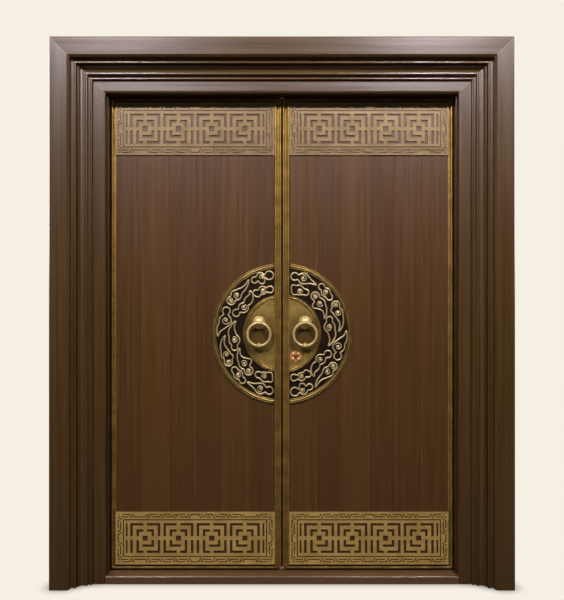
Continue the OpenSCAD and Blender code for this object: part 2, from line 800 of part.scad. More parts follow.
module meeting_trim(side) {
    color(brass) on_side(side) difference() {
        mitred([[meet_x, leaf_z0], [meet_x, leaf_z1], [field_x0, field_z1], [field_x0, field_z0]])
            translate([meet_x, core_y, leaf_z1]) rotate([180, 0, 0])
                linear_extrude(height = leaf_h) meeting_trim_profile();
        for (z = [[leaf_z0 - eps, leaf_z0 + sill_lip + trim_clear], [leaf_z1 - lip - trim_clear, leaf_z1 + eps]])
            block([meet_x - eps, face_y - 2 * trim_rise, z[0]], [field_x0 + eps, face_y, z[1]]);
    }
}

module top_trim(side) {
    color(brass) on_side(side)
        mitred([[leaf_x, leaf_z1], [meet_x, leaf_z1], [field_x0, field_z1], [field_x1, field_z1]])
            translate([meet_x + leaf_w / 2, core_y, leaf_z1]) rotate([180, 90, 0])
                linear_extrude(height = leaf_w, center = true) edge_trim_profile();
}

module bottom_trim(side) {
    color(brass) on_side(side)
        mitred([[leaf_x, leaf_z0], [meet_x, leaf_z0], [field_x0, field_z0], [field_x1, field_z0]])
            translate([meet_x + leaf_w / 2, core_y, leaf_z0]) rotate([180, -90, 0])
                linear_extrude(height = leaf_w, center = true) edge_trim_profile();
}

module left_hinge_trim() hinge_trim(-1);
module left_meeting_trim() meeting_trim(-1);
module left_top_trim() top_trim(-1);
module left_bottom_trim() bottom_trim(-1);
module right_hinge_trim() hinge_trim(1);
module right_meeting_trim() meeting_trim(1);
module right_top_trim() top_trim(1);
module right_bottom_trim() bottom_trim(1);

// Lattice plates

// An upright stroke at x
module key_bar(x, y0, y1) translate([x - stroke / 2, min(y0, y1)]) square([stroke, abs(y1 - y0)]);

// A hooked stroke: up from the gap at x, then along y back towards the middle, to the distance start
module key_hook(sx, sy, x, y, start) {
    translate([sx > 0 ? x - stroke / 2 : -x - stroke / 2, sy > 0 ? key_gap : -y - stroke / 2])
        square([stroke, y + stroke / 2 - key_gap]);
    translate([sx > 0 ? start : -x - stroke / 2, sy * y - stroke / 2])
        square([x + stroke / 2 - start, stroke]);
}

module key_unit() {
    square(2 * key_eye, center = true);
    key_hook(-1, 1, key_inner, key_inner, key_gap);
    key_hook(1, 1, key_inner, key_inner, key_gap);
    key_hook(1, -1, key_inner, key_inner, -key_eye);
    key_hook(-1, 1, key_outer, key_outer, key_gap);
    key_hook(1, 1, key_outer, key_outer, key_gap);
    key_hook(1, -1, key_outer, key_outer, key_gap);
    key_hook(-1, -1, key_inner, key_outer, key_gap);
    key_bar(-key_outer, -key_gap, -key_outer - stroke / 2);
}

module key_field() {
    for (i = [0 : key_count - 1])
        translate([(i - (key_count - 1) / 2) * key_pitch, 0]) mirror([i % 2, 0]) key_unit();
    end_x = (key_count - 1) / 2 * key_pitch + end_stroke_x;
    for (sx = [-1, 1]) for (sy = [0, 1])
        mirror([0, sy]) translate([sx * end_x - end_stroke / 2, key_gap])
            square([end_stroke, key_outer + stroke / 2 - key_gap]);
}

// A leaning line from height v0 to v1 that starts at u and leans towards dir
module fret_slant(u, v0, v1, dir) {
    run_u = dir * fret_lean * (v1 - v0);
    polygon([[u, v0], [u + fret_slot, v0], [u + run_u + fret_slot, v1], [u + run_u, v1]]);
}

module fret_flat(u0, u1, v) translate([u0, v]) square([u1 - u0, fret_line]);

// One step of the fret that leans to the right, about its middle
module fret_step() {
    rise = fret_lean * (fret_high - fret_low);
    low = -fret_pitch / 2;
    fret_slant(low, fret_low, fret_high, 1);
    fret_flat(low + rise, low + rise + fret_pitch * 0.55, fret_high - fret_line);
    high = fret_pitch / 2 - fret_lean * (fret_high - fret_mid);
    fret_flat(high - fret_pitch * 0.5, high + fret_slot, fret_mid);
    fret_slant(high, fret_mid, fret_high, 1);
}

// The turning step, open below
module fret_arch() {
    low = -fret_pitch / 2;
    rise = fret_lean * (fret_high - fret_low);
    for (s = [0, 1]) mirror([s, 0]) fret_slant(low, fret_low, fret_high, 1);
    fret_flat(low + rise, -low - rise, fret_high - fret_line);
}

// The turning step, open above
module fret_trough() {
    high = fret_pitch / 2 - fret_lean * (fret_high - fret_mid);
    for (s = [0, 1]) mirror([s, 0]) fret_slant(high, fret_mid, fret_high, 1);
    fret_flat(-high - eps, high + eps, fret_mid);
}

// A straight run of the fret along a plate's side of the given length
module fret_run(length) {
    last = floor((length / 2 - fret_w / 2) / fret_pitch + 0.5);
    for (k = [-last : last]) translate([k * fret_pitch, 0]) {
        turn = (abs(k) % 8);
        if (turn == 0) fret_arch();
        else if (turn == 4) fret_trough();
        else mirror([(k > 0) == (turn < 4) ? 1 : 0, 0]) fret_step();
    }
}

// The fret round the plate, cut at the corners by the mitres
module fret_side(length, half_depth) {
    intersection() {
        translate([0, half_depth - fret_w]) fret_run(length);
        polygon([
            [-length / 2 + fret_w + 2, half_depth - fret_w], [length / 2 - fret_w - 2, half_depth - fret_w],
            [length / 2 - lattice_edge - 2, half_depth - lattice_edge],
            [-length / 2 + lattice_edge + 2, half_depth - lattice_edge]
        ]);
    }
}

module fret_lines() {
    for (s = [0, 1]) {
        mirror([0, s]) fret_side(lattice_w, lattice_h / 2);
        mirror([s, 0]) rotate(90) fret_side(lattice_h, lattice_w / 2);
    }
    difference() {
        square([lattice_w - 2 * line_frame, lattice_h - 2 * line_frame], center = true);
        square([lattice_w - 2 * (line_frame + fret_line), lattice_h - 2 * (line_frame + fret_line)],
               center = true);
    }
}

module lattice(side, z0) {
    color(brass_bright)
    on_face(side * field_mid_x, face_y, z0 + lattice_h / 2) difference() {
        translate([0, 0, lattice_t / 2]) cube([lattice_w, lattice_h, lattice_t], center = true);
        translate([0, 0, lattice_t - stroke_d]) linear_extrude(height = stroke_d + eps)
            offset(delta = 0.01) key_field();
        translate([0, 0, lattice_t - fret_d]) linear_extrude(height = fret_d + eps)
            offset(delta = 0.01) fret_lines();
    }
}

module left_top_lattice() lattice(-1, lattice_high_z);
module left_bottom_lattice() lattice(-1, lattice_low_z);
module right_top_lattice() lattice(1, lattice_high_z);
module right_bottom_lattice() lattice(1, lattice_low_z);

// Medallion

function bend(a, b, c, t) = (1 - t) * (1 - t) * a + 2 * t * (1 - t) * b + t * t * c;
function bend_slope(a, b, c, t) = 2 * (1 - t) * (b - a) + 2 * t * (c - b);
function left_of(v) = [-v[1], v[0]] / norm(v);

// A tail that tapers along a bent line to a blunt tip
module cloud_tail(tail) {
    n = 5;
    tip = 1.2;
    side = [for (s = [-1, 1]) [for (i = [0 : n])
        let (t = i / n, half = tail[3] * (1 - t) + tip * t)
        bend(tail[0], tail[1], tail[2], t)
            + s * half * left_of(bend_slope(tail[0], tail[1], tail[2], t))]];
    polygon(concat(side[0], [for (i = [n : -1 : 0]) side[1][i]]));
}

// A cloud's outline, with the nooks between its lobes filled round
module cloud_shape(cloud, grow) {
    offset(r = grow - nook_r, $fn = 12) offset(delta = nook_r) {
        for (lobe = cloud[0]) translate([lobe[0], lobe[1]]) circle(lobe[2], $fn = 16);
        for (tail = cloud[1]) cloud_tail(tail);
    }
}

// A curl that winds out from a ball
module cloud_curl(curl) {
    n = 10;
    r0 = ball_r + curl_w / 2 + 2 * fit;
    r1 = curl[2];
    arc = 360;
    line = [for (i = [0 : n]) let (t = i / n) [r0 + (r1 - r0) * t, curl[3] + arc * t]];
    edge = [for (s = [-1, 1]) [for (p = line) (p[0] + s * curl_w / 2) * [cos(p[1]), sin(p[1])]]];
    translate([curl[0], curl[1]]) polygon(concat(edge[0], [for (i = [n : -1 : 0]) edge[1][i]]));
}

module cloud_relief() {
    scale(cloud_scale) for (cloud = CLOUDS) {
        difference() {
            cloud_shape(cloud, ridge_w / 2);
            cloud_shape(cloud, -ridge_w / 2);
        }
        for (curl = cloud[2]) cloud_curl(curl);
    }
}

// The left half, drawn in front view about the medallion's centre
module half_medallion_form(key_hole) {
    edge = field_x0 + fit;
    difference() {
        union() {
            cylinder(r = medal_r - 1, h = medal_t);
            cylinder(r = hub_r - 1, h = medal_t + hub_t);
            ring_moulding(medal_r, rim_w, rim_rise);
            ring_moulding(hub_r, hub_ring_w, hub_ring_rise);
            for (cloud = CLOUDS) for (curl = cloud[2])
                translate([curl[0] * cloud_scale, curl[1] * cloud_scale, ball_r + fit]) sphere(ball_r);
        }
        translate([-edge, -medal_r - eps, -eps]) cube([medal_r + edge + eps, 2 * (medal_r + eps), medal_r]);
        if (key_hole) translate([-key_x, key_drop, -eps]) cylinder(r = cylinder_r + fit, h = medal_t + hub_t + 2 * eps);
    }
    translate([0, 0, medal_t / 2]) linear_extrude(height = medal_t / 2 + ridge_rise) cloud_field(edge);
}

// The clouds' outlines and curls, kept between the rim, the inner ring and the straight edge
module cloud_field(edge) {
    offset(delta = 0.01) intersection() {
        cloud_relief();
        difference() {
            circle(medal_r - rim_w - relief_gap, $fn = 60);
            circle(hub_r + relief_gap, $fn = 48);
            translate([-edge, -medal_r]) square(2 * medal_r);
        }
    }
}

// A ring on the medallion's ground: a flat band with a round crown
module ring_moulding(r, w, rise) {
    crown = w * 0.3;
    rotate_extrude() {
        translate([r - w, 0]) square([w, medal_t + rise - crown]);
        translate([r - w / 2, medal_t + rise - crown]) intersection() {
            circle(crown);
            translate([-crown, -fit]) square([2 * crown, crown + eps]);
        }
    }
}

module left_half_medallion() {
    color(brass_bright) on_face(0, face_y, medal_z) half_medallion_form(false);
}

module right_half_medallion() {
    color(brass_bright) on_face(0, face_y, medal_z) rotate(180) half_medallion_form(true);
}

// Knockers

module knocker_rose(side) {
    x = side * knocker_x;
    color(brass_bright) difference() {
        union() {
            difference() {
                translate([x, hub_y + dome_r - rose_rise, eye_z]) sphere(dome_r);
                block([x - 2 * dome_r, hub_y, eye_z - 2 * dome_r],
                      [x + 2 * dome_r, hub_y + 3 * dome_r, eye_z + 2 * dome_r]);
            }
            intersection() {
                translate([x, eye_y, eye_z]) sphere(eye_r);
                block([x - eye_w / 2, eye_y - eye_r - eps, eye_z - eye_r - eps],
                      [x + eye_w / 2, hub_y, eye_z + eye_r + eps]);
            }
        }
        rod_x(eye_bore_r, x - eye_w, x + eye_w, eye_y, eye_z);
    }
}

module left_knocker_rose() knocker_rose(-1);
module right_knocker_rose() knocker_rose(1);

module strike_stud(side) {
    cap = stud_r * 0.5;
    cap_r = (stud_r * stud_r + cap * cap) / (2 * cap);
    color(brass_bright) translate([side * knocker_x, hub_y, stud_z]) rotate([90, 0, 0]) intersection() {
        cylinder(r = stud_r, h = hub_y - stud_top_y);
        translate([0, 0, hub_y - stud_top_y - cap_r]) sphere(cap_r);
    }
}

module left_strike_stud() strike_stud(-1);
module right_strike_stud() strike_stud(1);

// The bar is cut at its foot, where a thin neck carries the barrel
module knocker_ring(side) {
    half = collar_w / 2;
    color(brass_bright) translate([side * knocker_x, eye_y, ring_z]) {
        difference() {
            rotate([90, 0, 0]) rotate_extrude() translate([ring_r, 0]) circle(ring_bar_r);
            block([-half - neck_len, -2 * ring_bar_r, -ring_r - 2 * ring_bar_r],
                  [half + neck_len, 2 * ring_bar_r, -ring_r / 2]);
        }
        rod_x(neck_r, -half - neck_len - eps, half + neck_len + eps, 0, -ring_r);
        rod_x(collar_r, -half, half, 0, -ring_r);
    }
}

module left_knocker_ring() knocker_ring(-1);
module right_knocker_ring() knocker_ring(1);

// Lock

module key_rose() {
    color(copper) difference() {
        union() {
            rod_y(key_rose_r, key_x, hub_y - key_rose_t, hub_y, key_z);
            for (a = [45 : 90 : 315])
                translate([key_x + petal_orbit * cos(a), hub_y - key_rose_t, key_z + petal_orbit * sin(a)])
                    sphere(petal_r);
        }
        rod_y(nose_r + fit, key_x, hub_y - key_rose_t - petal_r - eps, hub_y + eps, key_z);
        block([key_x - 2 * key_rose_r, hub_y, key_z - 2 * key_rose_r],
              [key_x + 2 * key_rose_r, hub_y + petal_r + eps, key_z + 2 * key_rose_r]);
    }
}

module key_cylinder() {
    bridge = plug_r + 3;
    color(steel) difference() {
        union() {
            rod_y(cylinder_r, key_x, hub_y + fit, back_y, key_z);
            rod_y(nose_r, key_x, nose_y, hub_y + eps, key_z);
            rod_y(nose_r, key_x, back_y - eps, cylinder_back_y, key_z);
        }
        rod_y(plug_r + run, key_x, nose_y - eps, cylinder_back_y + eps, key_z);
        difference() {
            rod_y(cylinder_r + eps, key_x, core_mid_y - cam_slot / 2, core_mid_y + cam_slot / 2, key_z);
            block([key_x - cam_w, core_mid_y - cam_slot, key_z - cylinder_r - eps],
                  [key_x + cam_w, core_mid_y + cam_slot, key_z - bridge]);
        }
    }
}

module key_plug() {
    color(brass_bright) difference() {
        union() {
            rod_y(plug_r, key_x, nose_y, cylinder_back_y + fit, key_z);
            block([key_x - cam_w / 2, core_mid_y - cam_t / 2, key_z],
                  [key_x + cam_w / 2, core_mid_y + cam_t / 2, key_z + cam_len]);
        }
        block([key_x - keyway_w / 2, nose_y - eps, key_z - keyway_h / 2],
              [key_x + keyway_w / 2, nose_y + 25, key_z + keyway_h / 2]);
    }
}

module thumb_turn() {
    y0 = cylinder_back_y + fit;
    y1 = y0 + thumb_rose_t;
    color(brass_bright) {
        rod_y(nose_r + 2, key_x, y0, y1, key_z);
        intersection() {
            block([key_x - thumb_t / 2, y1 - eps, key_z - thumb_r],
                  [key_x + thumb_t / 2, y0 + thumb_h, key_z + thumb_r]);
            rod_x(thumb_r, key_x - thumb_t / 2, key_x + thumb_t / 2, y0 + thumb_rose_t / 2, key_z);
        }
    }
}

module inside_rose() {
    color(brass_bright) difference() {
        rod_y(key_rose_r, key_x, back_y, back_y + thumb_rose_t - 1, key_z);
        rod_y(nose_r + fit, key_x, back_y - eps, back_y + thumb_rose_t, key_z);
    }
}

module lock_case() {
    half = lock_w / 2;
    color(steel) difference() {
        block([case_x0, core_mid_y - half, key_z - case_h / 2], [case_x1, core_mid_y + half, key_z + case_h / 2]);
        block([case_x0 + case_wall, core_mid_y - half + case_wall, key_z - case_h / 2 + case_wall],
              [case_x1 - case_wall, core_mid_y + half - case_wall, key_z + case_h / 2 - case_wall]);
        rod_y(cylinder_r + fit, key_x, core_mid_y - lock_w, core_mid_y + lock_w, key_z);
        for (k = [-1, 1])
            rod_x(bolt_r + slip, case_x0 - eps, case_x0 + case_wall + eps, core_mid_y, key_z + k * bolt_offset);
    }
}

// A plate let into a meeting edge, with holes for the lock bolts
module edge_plate() {
    difference() {
        block([meet_x, core_mid_y - lock_w / 2, key_z - faceplate_h / 2],
              [case_x0, core_mid_y + lock_w / 2, key_z + faceplate_h / 2]);
        for (k = [-1, 1])
            rod_x(bolt_r + slip, meet_x - eps, case_x0 + eps, core_mid_y, key_z + k * bolt_offset);
    }
}

module lock_faceplate() color(brass) edge_plate();
module strike_plate() color(brass) on_side(-1) edge_plate();

module lock_bolts() {
    color(steel) {
        for (k = [-1, 1])
            rod_x(bolt_r, bolt_rest_x, carriage_x - eps, core_mid_y, key_z + k * bolt_offset);
        block([carriage_x - carriage_w, core_mid_y - carriage_t / 2, key_z - bolt_offset - bolt_r / 2],
              [carriage_x, core_mid_y + carriage_t / 2, key_z + bolt_offset + bolt_r / 2]);
    }
}

// Flush bolts in the left leaf

module flush_bolt(thumb_z, z_tip, z_end) {
    color(steel) on_side(-1) {
        rod_z(flush_r, flush_x, core_mid_y, min(z_tip, z_end), max(z_tip, z_end));
        block([meet_x + 0.5, core_mid_y - flush_thumb_t / 2, thumb_z - flush_thumb / 2],
              [flush_x, core_mid_y + flush_thumb_t / 2, thumb_z + flush_thumb / 2]);
    }
}

module top_flush_bolt() flush_bolt(top_thumb_z, leaf_z1 - flush_tip, leaf_z1 - flush_tip - flush_len);
module bottom_flush_bolt() flush_bolt(bottom_thumb_z, leaf_z0 + flush_tip, leaf_z0 + flush_tip + flush_len);

module flush_bolt_plates() {
    color(brass) on_side(-1) for (p = [[top_thumb_z, 1], [bottom_thumb_z, -1]])
        difference() {
            block([meet_x, core_mid_y - flush_plate_w / 2, p[0] - flush_plate_h / 2],
                  [case_x0, core_mid_y + flush_plate_w / 2, p[0] + flush_plate_h / 2]);
            flush_slot(p[0], p[1], 0, case_x0 + eps);
        }
}

// Inside pull handles

module pull_handle(side) {
    post = pull_len / 2 - pull_post_inset;
    color(brass) on_side(side) {
        rod_z(pull_r, pull_x, back_y + pull_stand, pull_z - pull_len / 2, pull_z + pull_len / 2);
        for (s = [-1, 1]) {
            rod_y(pull_post_r, pull_x, back_y, back_y + pull_stand, pull_z + s * post);
            rod_y(pull_foot_r, pull_x, back_y, back_y + pull_foot_t, pull_z + s * post);
        }
    }
}

module left_pull_handle() pull_handle(-1);
module right_pull_handle() pull_handle(1);

left_casing();
right_casing();
head_casing();
left_jamb();
right_jamb();
head_jamb();
threshold();
frame_seals();
frame_hinge_plates();
frame_hinge_screws();
head_keeper();
threshold_keeper();
left_core();
left_front_boards();
left_back_boards();
left_hinge_trim();
left_meeting_trim();
left_top_trim();
left_bottom_trim();
left_top_lattice();
left_bottom_lattice();
left_half_medallion();
left_knocker_rose();
left_strike_stud();
left_knocker_ring();
left_hinge_plates();
left_hinge_pins();
left_hinge_screws();
left_pull_handle();
meeting_seal();
strike_plate();
flush_bolt_plates();
top_flush_bolt();
bottom_flush_bolt();
right_core();
right_front_boards();
right_back_boards();
right_hinge_trim();
right_meeting_trim();
right_top_trim();
right_bottom_trim();
right_top_lattice();
right_bottom_lattice();
right_half_medallion();
right_knocker_rose();
right_strike_stud();
right_knocker_ring();
right_hinge_plates();
right_hinge_pins();
right_hinge_screws();
right_pull_handle();
key_rose();
key_cylinder();
key_plug();
thumb_turn();
inside_rose();
lock_case();
lock_faceplate();
lock_bolts();
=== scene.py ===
import math

import bmesh
import bpy
import numpy as np
from mathutils import Matrix, Vector


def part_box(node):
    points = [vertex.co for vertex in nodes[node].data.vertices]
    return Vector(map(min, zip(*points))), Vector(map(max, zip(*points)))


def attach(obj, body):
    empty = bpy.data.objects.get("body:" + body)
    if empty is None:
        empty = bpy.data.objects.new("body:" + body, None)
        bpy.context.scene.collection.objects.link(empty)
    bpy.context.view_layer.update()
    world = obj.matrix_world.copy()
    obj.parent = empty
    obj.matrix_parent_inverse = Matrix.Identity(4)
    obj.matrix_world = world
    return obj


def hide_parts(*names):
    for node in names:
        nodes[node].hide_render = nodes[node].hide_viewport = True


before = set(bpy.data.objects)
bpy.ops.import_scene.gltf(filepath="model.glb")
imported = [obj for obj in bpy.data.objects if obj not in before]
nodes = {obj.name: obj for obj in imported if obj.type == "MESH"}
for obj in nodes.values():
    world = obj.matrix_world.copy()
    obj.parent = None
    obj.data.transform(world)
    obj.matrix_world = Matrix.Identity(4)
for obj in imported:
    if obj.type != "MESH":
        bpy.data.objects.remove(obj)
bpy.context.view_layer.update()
scene = bpy.context.scene


# Measures of the door, in metres, taken from its nodes

def span(node):
    lo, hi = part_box(node)
    return Vector(lo), Vector(hi)


medal_lo, medal_hi = span("left_half_medallion")
MEDAL_Z = (medal_lo.z + medal_hi.z) / 2
MEDAL_R = -medal_lo.x
MEDAL_EDGE = -medal_hi.x
MEDAL_BACK = medal_hi.y
board_lo, board_hi = span("right_front_boards")
FIELD_X0, FIELD_X1 = board_lo.x, board_hi.x
BOARDS = 6
LATTICE_FACE = span("left_top_lattice")[0].y
OPENING_X = span("right_casing")[0].x
OPENING_Z = span("head_casing")[0].z
ring_lo, ring_hi = span("left_knocker_ring")
RING_R = (ring_hi.x - ring_lo.x) / 2
RING_X = -(ring_lo.x + ring_hi.x) / 2
RING_Z = ring_lo.z + RING_R
seal_lo, seal_hi = span("meeting_seal")
LIP_OUT, LIP_DEEP = 0.00028, 0.0012

# Measures of the casting, in metres

GROUND_T = 0.004
RIM_W, RIM_RISE = 0.021, 0.007
HUB_R, HUB_RING_W, HUB_RING_RISE, HUB_T = 0.175, 0.018, 0.006, 0.001
PLATE_INSET, HUB_SEAT, RIM_SEAT, GROOVE_RISE = 0.001, 0.001, 0.0005, 0.0004
RIDGE_R, CURL_R, BALL_R = 0.0034, 0.0028, 0.0062
RIDGE_SEAT, BALL_SEAT = GROUND_T + 0.0012, GROUND_T + 0.0018
# A ridge's height as a share of its width; a curl's inner radius, its turn in degrees,
# and its thickness at either end
RIDGE_TALL = 1.25
CURL_START, CURL_TURN, CURL_THICK, CURL_THIN = 0.0055, 400, 1.25, 0.65
# A ring's three beads, with start and end as shares of its width and height as a share of its rise,
# and the angle where a bead's round starts
BEADS = (0.0, 0.22, 0.72), (0.28, 0.74, 1.0), (0.80, 1.0, 0.66)
GROOVE_ANGLE = 0.06
RIDGE_SIDES, CURL_STEPS, BALL_STEPS, BALL_ROWS, TURN_STEPS, BEAD_STEPS = 8, 26, 14, 8, 192, 9
# Places of the casting's materials after the clouds' own
GROUND, HUB, RIM = 1, 2, 3


# Materials

class Shader:
    """A node material on a piece's own coordinates."""

    def __init__(self, name):
        self.mat = bpy.data.materials.new(name)
        self.mat.use_nodes = True
        self.tree = self.mat.node_tree
        self.bsdf = self.tree.nodes["Principled BSDF"]
        self.coord = self.add("ShaderNodeTexCoord").outputs["Object"]

    def add(self, kind, **values):
        node = self.tree.nodes.new(kind)
        for key, value in values.items():
            setattr(node, key, value)
        return node

    def wire(self, a, b):
        self.tree.links.new(a, b)

    def put(self, socket, value):
        if hasattr(value, "is_linked"):
            self.wire(value, socket)
        else:
            socket.default_value = value

    def stretch(self, scale):
        m = self.add("ShaderNodeMapping")
        self.wire(self.coord, m.inputs["Vector"])
        m.inputs["Scale"].default_value = scale
        return m.outputs["Vector"]

    def noise(self, scale, detail=4.0, rough=0.55, warp=0.0):
        n = self.add("ShaderNodeTexNoise")
        self.wire(self.stretch(scale), n.inputs["Vector"])
        n.inputs["Scale"].default_value = 1.0
        n.inputs["Detail"].default_value = detail
        n.inputs["Roughness"].default_value = rough
        n.inputs["Distortion"].default_value = warp
        return n.outputs["Fac"]

    def calc(self, op, a, b=0.0, c=0.0):
        m = self.add("ShaderNodeMath", operation=op)
        for socket, value in zip(m.inputs, (a, b, c)):
            self.put(socket, value)
        return m.outputs[0]

    def ease(self, value, a, b, to_a=0.0, to_b=1.0):
        m = self.add("ShaderNodeMapRange", interpolation_type="SMOOTHSTEP")
        self.put(m.inputs["Value"], value)
        for key, number in (("From Min", a), ("From Max", b), ("To Min", to_a), ("To Max", to_b)):
            m.inputs[key].default_value = number
        return m.outputs["Result"]

    def blend(self, fac, a, b):
        m = self.add("ShaderNodeMix", data_type="RGBA")
        self.put(m.inputs[0], fac)
        self.put(m.inputs[6], a)
        self.put(m.inputs[7], b)
        return m.outputs[2]

    def axis(self, name):
        s = self.add("ShaderNodeSeparateXYZ")
        self.wire(self.coord, s.inputs[0])
        return s.outputs[name]

    def bump(self, height, strength, distance):
        b = self.add("ShaderNodeBump")
        self.put(b.inputs["Height"], height)
        b.inputs["Strength"].default_value = strength
        b.inputs["Distance"].default_value = distance
        self.wire(b.outputs["Normal"], self.bsdf.inputs["Normal"])

    def set(self, **values):
        for key, value in values.items():
            self.put(self.bsdf.inputs[key.replace("_", " ")], value)
        return self.mat


def tone(r, g, b):
    """A colour given as screen values from 0 to 255."""
    def line(c):
        c /= 255
        return c / 12.92 if c <= 0.04045 else ((c + 0.055) / 1.055) ** 2.4
    return (line(r), line(g), line(b), 1.0)


def times(colour, share):
    return tuple(share * c for c in colour[:3]) + (1.0,)


CASING = tone(66, 43, 4), tone(86, 58, 7)
FRAME = tone(46, 25, 6), tone(60, 36, 9)
SILL = tone(93, 65, 40), tone(113, 82, 52)
BOARD = tone(74, 45, 3), tone(91, 58, 6)
CORE = tone(92, 62, 38), tone(128, 90, 58)
# Painted highlights along the board seams and along the casing mitres, where edges catch the light
SEAM_HIGHLIGHT, MITRE_HIGHLIGHT = tone(146, 88, 42), tone(150, 116, 92)
# The painted shade of the brass's nooks, and the darker tint round each ring's middle
NOOK_SHADE_TINT, RING_MIDDLE_TINT = tone(38, 24, 8), tone(84, 58, 26)
LACQUER_TINT = (1.0, 0.95, 1.0, 1.0)

# Changes of the grain per metre, across it and along it
BROAD, FIGURE, STREAK = (9.0, 0.7), (75.0, 1.6), (420.0, 7.0)
# Each board's own shade and hue, the step between the leaves' boards,
# and the half width of a seam's painted highlight as a share of a board
SHADES, HUES, LEAF_STEP = (0.91, 1.09), (0.4965, 0.5015), 17.0
SEAM_CORE, SEAM_FADE = 0.008, 0.020
# Half width of the mitre's painted highlight, and where the head's glossier inner flat ends, in metres
MITRE_CORE, MITRE_FADE = 0.0008, 0.0030
FLAT_CORE, FLAT_FADE, FLAT_GLOSS = 0.044, 0.052, 0.35
# How near a wall the brass gets its painted shade, how far from a ring's middle it is darker,
# and the depths of a stroke, in metres
NOOK = 0.012
RING_MIDDLE_CORE, RING_MIDDLE_FADE = 0.6 * RING_R, 2.2 * RING_R
STROKE_LIP, STROKE_SIDE, STROKE_FLOOR = 0.0004, 0.0026, 0.0036
FINE_BUMP, GRAIN_BUMP = (0.05, 0.0003), (0.10, 0.0004)
# Changes of the brass per metre: cloudy wear and fine grain, on castings and on the plates
CLOUDY, FINE = (18, 18, 18), (900, 900, 900)
PLATE_CLOUDY, PLATE_FINE = (14, 14, 30), (700, 700, 700)
# How far the roughness varies
WOOD_PLAY, BRASS_PLAY = 0.03, 0.08


def lacquered_wood(name, tones, along, boards=False, mitre=False, rough=0.30, shine=1.0, ior=1.6):
    """Stained wood with its grain along X or Z, and a tone of its own on each board."""
    w = Shader(name)
    deep, pale = tones

    def grain(changes):
        across, long = changes
        return (long, across, across) if along == "X" else (across, across, long)

    broad = w.noise(grain(BROAD), 3.0, 0.5, 0.2)
    figure = w.noise(grain(FIGURE), 5.0, 0.62, 0.25)
    streak = w.noise(grain(STREAK), 3.0, 0.6)
    colour = w.blend(w.ease(figure, 0.25, 0.75), deep, pale)
    colour = w.blend(w.ease(broad, 0.3, 0.7, 0.0, 0.30), colour, times(deep, 1.35))
    colour = w.blend(w.ease(streak, 0.45, 0.75, 0.0, 0.30), colour, times(deep, 0.5))
    x = w.axis("X")
    if boards:
        pitch = (FIELD_X1 - FIELD_X0) / BOARDS
        place = w.calc("DIVIDE", w.calc("SUBTRACT", w.calc("ABSOLUTE", x), FIELD_X0), pitch)
        side = w.calc("MULTIPLY", w.calc("SIGN", x), LEAF_STEP)
        which = w.add("ShaderNodeTexWhiteNoise", noise_dimensions="1D")
        w.wire(w.calc("ADD", w.calc("FLOOR", place), side), which.inputs["W"])
        hsv = w.add("ShaderNodeHueSaturation")
        w.wire(colour, hsv.inputs["Color"])
        w.wire(w.ease(which.outputs["Value"], 0.0, 1.0, *SHADES), hsv.inputs["Value"])
        w.wire(w.ease(which.outputs["Color"], 0.2, 0.8, *HUES), hsv.inputs["Hue"])
        seam = w.calc("ABSOLUTE", w.calc("SUBTRACT", place, w.calc("ROUND", place)))
        # A painted highlight along each seam, where the board edges catch the light
        colour = w.blend(w.ease(seam, SEAM_CORE, SEAM_FADE, 0.75, 0.0), hsv.outputs["Color"], SEAM_HIGHLIGHT)
    if mitre:
        out = w.calc("SUBTRACT", w.calc("ABSOLUTE", x), OPENING_X)
        up = w.calc("SUBTRACT", w.axis("Z"), OPENING_Z)
        off = w.calc("ABSOLUTE", w.calc("SUBTRACT", out, up))
        # A painted highlight along the mitre
        colour = w.blend(w.ease(off, MITRE_CORE, MITRE_FADE, 0.55, 0.0), colour, MITRE_HIGHLIGHT)
        if along == "X":
            ior = w.ease(up, FLAT_CORE, FLAT_FADE, ior + FLAT_GLOSS, ior)
    w.bump(streak, *GRAIN_BUMP)
    return w.set(Base_Color=colour, IOR=ior, Specular_IOR_Level=shine, Specular_Tint=LACQUER_TINT,
                 Roughness=w.ease(figure, 0.2, 0.8, rough - WOOD_PLAY, rough + WOOD_PLAY))


def aged_brass(name, bright, dull, rough=0.3, nook_shade_depth=0.5, metal=0.75, ring_middle=False):
    """Brass worn in cloudy patches, with painted shade darkening its nooks, and darker round the middle of each
    ring.
    """
    m = Shader(name)
    cloud = m.noise(CLOUDY, 4.0, 0.6)
    colour = m.blend(m.ease(cloud, 0.3, 0.7), dull, bright)
    if ring_middle:
        across = m.calc("SUBTRACT", m.calc("ABSOLUTE", m.axis("X")), RING_X)
        up = m.calc("SUBTRACT", m.axis("Z"), RING_Z)
        away = m.calc("SQRT", m.calc("ADD", m.calc("POWER", across, 2.0), m.calc("POWER", up, 2.0)))
        # Darker round the middle of each ring
        colour = m.blend(m.ease(away, RING_MIDDLE_CORE, RING_MIDDLE_FADE, 0.75, 0.0), colour, RING_MIDDLE_TINT)
    # Painted shade: darker where ambient occlusion finds a nook
    nook = m.add("ShaderNodeAmbientOcclusion", samples=6)
    nook.inputs["Distance"].default_value = NOOK
    painted_nook_shade = m.ease(nook.outputs["AO"], 0.25, 0.85, nook_shade_depth, 0.0)
    colour = m.blend(painted_nook_shade, colour, NOOK_SHADE_TINT)
    m.bump(m.noise(FINE, 2.0, 0.5), *FINE_BUMP)
    return m.set(Base_Color=colour, Metallic=metal,
                 Roughness=m.ease(cloud, 0.3, 0.7, rough + BRASS_PLAY, rough))


